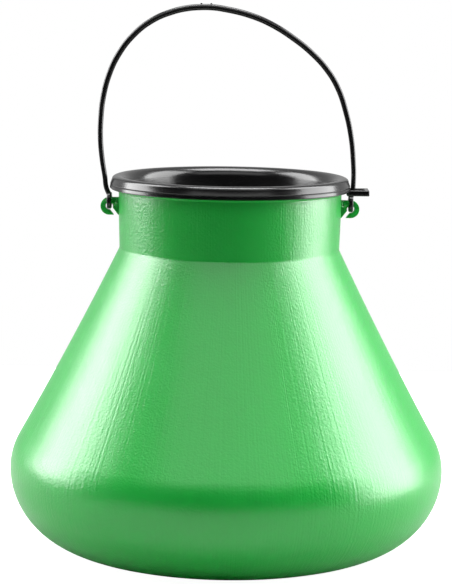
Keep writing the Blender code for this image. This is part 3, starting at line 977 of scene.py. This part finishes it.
@dataclass
class LureBasket:
    """The slotted basket on three fins, its vented cap and the rubber lure."""

    lid: FunnelLid
    radius: float = 10.0 * MM
    wall: float = 1.2 * MM
    floor_z: float = 103.0 * MM
    top_z: float = 128.0 * MM
    rim_edge: float = 0.3 * MM
    slots: int = 6
    slot_width: float = 4.6 * MM
    slot_start: float = 4.5 * MM
    slot_end: float = 18.5 * MM
    slot_edge: float = 1.0 * MM
    fins: int = 3
    fin_plate: float = 1.6 * MM
    fin_bottom_z: float = 112.0 * MM
    fin_top_z: float = 124.0 * MM
    fin_gap: float = 1.2 * SEAT_GAP
    first_fin: float = math.radians(30.0)
    cap_radius: float = 11.4 * MM
    cap_top: float = 1.4 * MM
    cap_skirt: float = 3.4 * MM
    knob_radius: float = 3.0 * MM
    knob_height: float = 6.0 * MM
    knob_edge: float = 0.8 * MM
    vents: int = 6
    vent_radius: float = 1.1 * MM
    vent_circle: float = 6.4 * MM
    septum_radius: float = 4.6 * MM
    septum_foot: float = 3.6 * MM
    septum_collar_radius: float = 6.2 * MM
    septum_collar: float = 5.0 * MM
    septum_height: float = 19.0 * MM
    septum_cup_radius: float = 3.2 * MM
    septum_cup_depth: float = 10.0 * MM
    septum_edge: float = 0.5 * MM
    septum_rim_edge: float = 1.0 * MM
    # Length of the sleeve's ease into the collar
    septum_ease: float = 1.5 * MM
    # Breaks of the collar's lower edge and of the cup's edge, across and upright
    septum_collar_edge: Point2 = (0.4 * MM, 0.6 * MM)
    septum_cup_edge: Point2 = (0.3 * MM, 0.4 * MM)

    def cup(self) -> bpy.types.Object:
        """Models the slotted cup with its fins.

        Returns:
            The cup.
        """
        inner = self.radius - self.wall
        floor = self.floor_z
        profile = [(0.0, floor), (inner, floor)]
        profile += arc((inner, floor + self.wall), (self.wall, self.wall), -60, 0, steps=4)
        profile += [(self.radius, self.top_z - self.rim_edge), (self.radius - self.rim_edge, self.top_z)]
        profile += [(inner, self.top_z), (inner, floor + self.wall), (0.0, floor + self.wall)]
        cup = turned("basket_cup", profile, steps=96)
        for i in range(self.fins):
            boolean(cup, spun(self.fin(), self.first_fin + math.tau * i / self.fins), Cut.JOIN)
        for i in range(self.slots):
            low = (0.5 * inner, -self.slot_width / 2, floor + self.slot_start)
            high = (self.radius + self.wall, self.slot_width / 2, floor + self.slot_end)
            slot = rounded(block("slot", low, high), self.slot_edge, segments=4)
            boolean(cup, spun(slot, self.first_fin + math.tau * (i + 0.5) / self.slots), Cut.REMOVE)
        return cup

    def fin(self) -> bpy.types.Object:
        """Models one fin in the XZ plane, drawn in below to lie along the funnel's wall.

        Returns:
            The fin.
        """
        root = self.radius - 0.5 * self.wall
        reach = self.lid.funnel_radius(self.fin_top_z) - self.fin_gap
        half = self.fin_plate / 2
        fin = block("fin", (root, -half, self.fin_bottom_z), (reach, half, self.fin_top_z))
        narrow = self.lid.funnel_radius(self.fin_bottom_z) - self.fin_gap
        # The lower outer corners move in to the wall.
        activate(fin)
        bpy.ops.object.mode_set(mode="EDIT")
        bpy.ops.mesh.select_all(action="DESELECT")
        bpy.ops.object.mode_set(mode="OBJECT")
        for vert in fin.data.vertices:
            vert.select = vert.co.x > 0.9 * reach and vert.co.z < self.fin_bottom_z + 0.1 * MM
        bpy.ops.object.mode_set(mode="EDIT")
        bpy.ops.mesh.select_mode(type="VERT")
        bpy.ops.transform.translate(value=(narrow - reach, 0, 0))
        bpy.ops.object.mode_set(mode="OBJECT")
        return rounded(fin, EDGE_BREAK, segments=2)

    def cap(self) -> bpy.types.Object:
        """Models the push-on cap with its knob and vents.

        Returns:
            The cap.
        """
        under = self.top_z + SEAT_GAP
        top = under + self.cap_top
        bore = self.radius + SEAT_GAP
        skirt_z = under - self.cap_skirt
        profile = [(0.0, under), (bore, under), (bore, skirt_z), (self.cap_radius, skirt_z)]
        edge = 0.5 * self.cap_top
        profile += arc((self.cap_radius - edge, top - edge), (edge, edge), 0, 90, steps=5)
        knob, knob_top, round_off = self.knob_radius, top + self.knob_height, self.knob_edge
        profile += arc((knob + round_off, top + round_off), (round_off, round_off), 270, 180, steps=4)
        profile += arc((knob - round_off, knob_top - round_off), (round_off, round_off), 0, 90, steps=5)
        profile += [(0.0, knob_top)]
        cap = turned("basket_cap", profile, steps=96)
        for i in range(self.vents):
            a = math.tau * i / self.vents
            centre = (self.vent_circle * math.cos(a), self.vent_circle * math.sin(a), under)
            vent = rod("vent", centre, self.vent_radius, 6 * self.cap_top, "Z", sides=24)
            boolean(cap, vent, Cut.REMOVE)
        return cap

    def septum(self) -> bpy.types.Object:
        """Turns the rubber sleeve stopper with its cup upwards.

        Returns:
            The stopper.
        """
        floor = self.floor_z + self.wall + SEAT_GAP
        top = floor + self.septum_height
        collar = top - self.septum_collar
        foot, body = self.septum_foot, self.septum_radius
        rim, bore = self.septum_collar_radius, self.septum_cup_radius
        edge, rim_edge = self.septum_edge, self.septum_rim_edge
        profile = [(0.0, floor), (foot - edge, floor), (foot, floor + edge)]
        profile += [(body, collar - self.septum_ease), (body + edge, collar - edge)]
        across, upright = self.septum_collar_edge
        profile += [(rim - across, collar), (rim, collar + upright)]
        profile += arc((rim - rim_edge, top - rim_edge), (rim_edge, rim_edge), 0, 90, steps=5)
        across, upright = self.septum_cup_edge
        cup_z = top - self.septum_cup_depth
        profile += [(bore + across, top), (bore, top - upright), (bore, cup_z), (0.0, cup_z)]
        return turned("lure_stopper", profile, steps=72)

    def build(self, plastic: bpy.types.Material, rubber: bpy.types.Material) -> None:
        """Models the basket, its cap and the lure, and delivers them.

        Args:
            plastic: the material of basket and cap.
            rubber: the material of the lure.
        """
        deliver(smooth(self.cup()), Body.BASKET, plastic, "lure_basket")
        deliver(smooth(self.cap()), Body.CAP, plastic, "lure_cap")
        deliver(smooth(self.septum()), Body.BASKET, rubber, "lure_septum")


# Stage


@dataclass(frozen=True)
class Softbox:
    """An area lamp that faces a point on the trap's axis; place and size are in metres, power is in watts."""

    name: str
    place: tuple[float, float, float]
    size: tuple[float, float]
    power: float
    sheen_only: bool = False
    aim_z: float = 0.10

    def build(self) -> None:
        """Adds the lamp; one for sheen only shows in reflections and leaves plain colours as they are."""
        bpy.ops.object.select_all(action="DESELECT")
        bpy.ops.object.light_add(type="AREA", location=self.place)
        lamp = added(self.name)
        lamp.data.shape = "RECTANGLE"
        lamp.data.size, lamp.data.size_y = self.size
        lamp.data.energy = self.power
        lamp.visible_diffuse = not self.sheen_only
        look = Vector((0, 0, self.aim_z)) - Vector(self.place)
        lamp.rotation_euler = look.to_track_quat("-Z", "Y").to_euler()


@dataclass
class Studio:
    """White sweep, softboxes and the camera at the photograph's angle."""

    # Camera fitted to the trap's outline in the photograph
    eye: tuple[float, float, float] = (-1.05 * MM, -901.75 * MM, 227.63 * MM)
    target: tuple[float, float, float] = (-1.05 * MM, 0.0, 100.76 * MM)
    lens: float = 143.4
    sensor: float = 36.0
    roll: float = 0.0145
    # Each sheen lamp stands a little behind its softbox, because lamps in one place hide each other
    lamps: tuple[Softbox, ...] = (
        Softbox("left_softbox", (-0.66, 0.14, 0.46), (0.48, 0.9), 5.8),
        Softbox("left_sheen", (-0.68, 0.14, 0.47), (0.48, 0.9), 8.6, sheen_only=True),
        Softbox("right_softbox", (0.66, 0.06, 0.40), (0.60, 1.0), 8.0),
        Softbox("right_sheen", (0.68, 0.06, 0.41), (0.60, 1.0), 9.6, sheen_only=True),
        Softbox("top_softbox", (0.0, 0.05, 0.95), (0.6, 0.4), 7.0),
        Softbox("top_sheen", (0.0, 0.05, 0.97), (0.6, 0.4), 3.0, sheen_only=True),
        Softbox("front_softbox", (0.0, -0.74, 0.86), (1.5, 0.54), 2.8),
        Softbox("front_sheen", (0.0, -0.75, 0.88), (1.5, 0.54), 1.3, sheen_only=True),
    )
    # Light from the room in front and from the backdrop, and the paper that the trap stands on
    room: float = 0.015
    backdrop: float = 0.6
    sweep_size: float = 0.8
    sweep_drop: float = 0.2 * MM
    sweep_colour: str = "#C4C4C2"
    sweep_roughness: float = 0.9
    sweep_lift: float = 0.97

    def build(self) -> None:
        """Adds floor, world, lamps and camera."""
        self.floor()
        self.world()
        for lamp in self.lamps:
            lamp.build()
        self.camera()

    def floor(self) -> None:
        """A plain white floor that the camera sees as the white sweep, with the trap's shadow on it."""
        bpy.ops.object.select_all(action="DESELECT")
        bpy.ops.mesh.primitive_plane_add(size=self.sweep_size, location=(0, 0, -self.sweep_drop))
        floor = settle(added("floor"))
        paper = bpy.data.materials.new("white_paper_sweep")
        paper.use_nodes = True
        tree = paper.node_tree
        shader = tree.nodes["Principled BSDF"]
        shader.inputs["Base Color"].default_value = linear(self.sweep_colour)
        shader.inputs["Roughness"].default_value = self.sweep_roughness
        shader.inputs["Emission Color"].default_value = linear(WHITE)
        seen = add_node(tree, "ShaderNodeLightPath").outputs["Is Camera Ray"]
        lift = add_node(tree, "ShaderNodeMath", {"operation": "MULTIPLY"}, i0=seen, i1=self.sweep_lift)
        tree.links.new(lift.outputs[0], shader.inputs["Emission Strength"])
        floor.data.materials.append(paper)

    def world(self) -> None:
        """White for the camera; for other rays a lit backdrop behind the trap and a dim room in front."""
        world = bpy.data.worlds.new("studio")
        bpy.context.scene.world = world
        world.use_nodes = True
        tree = world.node_tree
        back = tree.nodes["Background"]
        back.inputs["Color"].default_value = linear(WHITE)
        way = add_node(tree, "ShaderNodeTexCoord").outputs["Generated"]
        depth = add_node(tree, "ShaderNodeSeparateXYZ", Vector=way).outputs["Y"]
        lit = add_node(
            tree, "ShaderNodeMapRange", {"interpolation_type": "SMOOTHSTEP"}, Value=depth,
            From_Min=0.0, From_Max=0.5, To_Min=self.room, To_Max=self.backdrop,
        )
        seen = add_node(tree, "ShaderNodeLightPath").outputs["Is Camera Ray"]
        level = add_node(tree, "ShaderNodeMath", {"operation": "MAXIMUM"}, i0=lit.outputs["Result"], i1=seen)
        tree.links.new(level.outputs[0], back.inputs["Strength"])

    def camera(self) -> None:
        """Adds the camera, aimed and rolled as the photograph's was."""
        bpy.ops.object.select_all(action="DESELECT")
        bpy.ops.object.camera_add(location=self.eye)
        camera = added("camera")
        camera.data.lens = self.lens
        camera.data.sensor_width = self.sensor
        look = Vector(self.target) - Vector(self.eye)
        turn = look.to_track_quat("-Z", "Y").to_matrix().to_4x4() @ Matrix.Rotation(self.roll, 4, "Z")
        camera.rotation_euler = turn.to_euler()
        bpy.context.scene.camera = camera


def main() -> None:
    """Builds the trap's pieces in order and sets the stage."""
    logging.basicConfig(level=logging.INFO, format="%(message)s")
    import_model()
    bpy.context.scene.view_settings.view_transform = "Standard"
    green = GREEN_POLYETHYLENE.make()
    black = BLACK_POLYPROPYLENE.make()
    grained = GRAINED_POLYPROPYLENE.make()
    natural = NATURAL_POLYPROPYLENE.make()
    rubber = RED_RUBBER.make()
    flask = Flask()
    lid = FunnelLid(flask)
    flask.build(green)
    lid.build(black)
    Bail(flask).build(grained)
    LureBasket(lid).build(natural, rubber)
    Studio().build()
    bpy.context.view_layer.update()


if __name__ == "__main__":
    main()
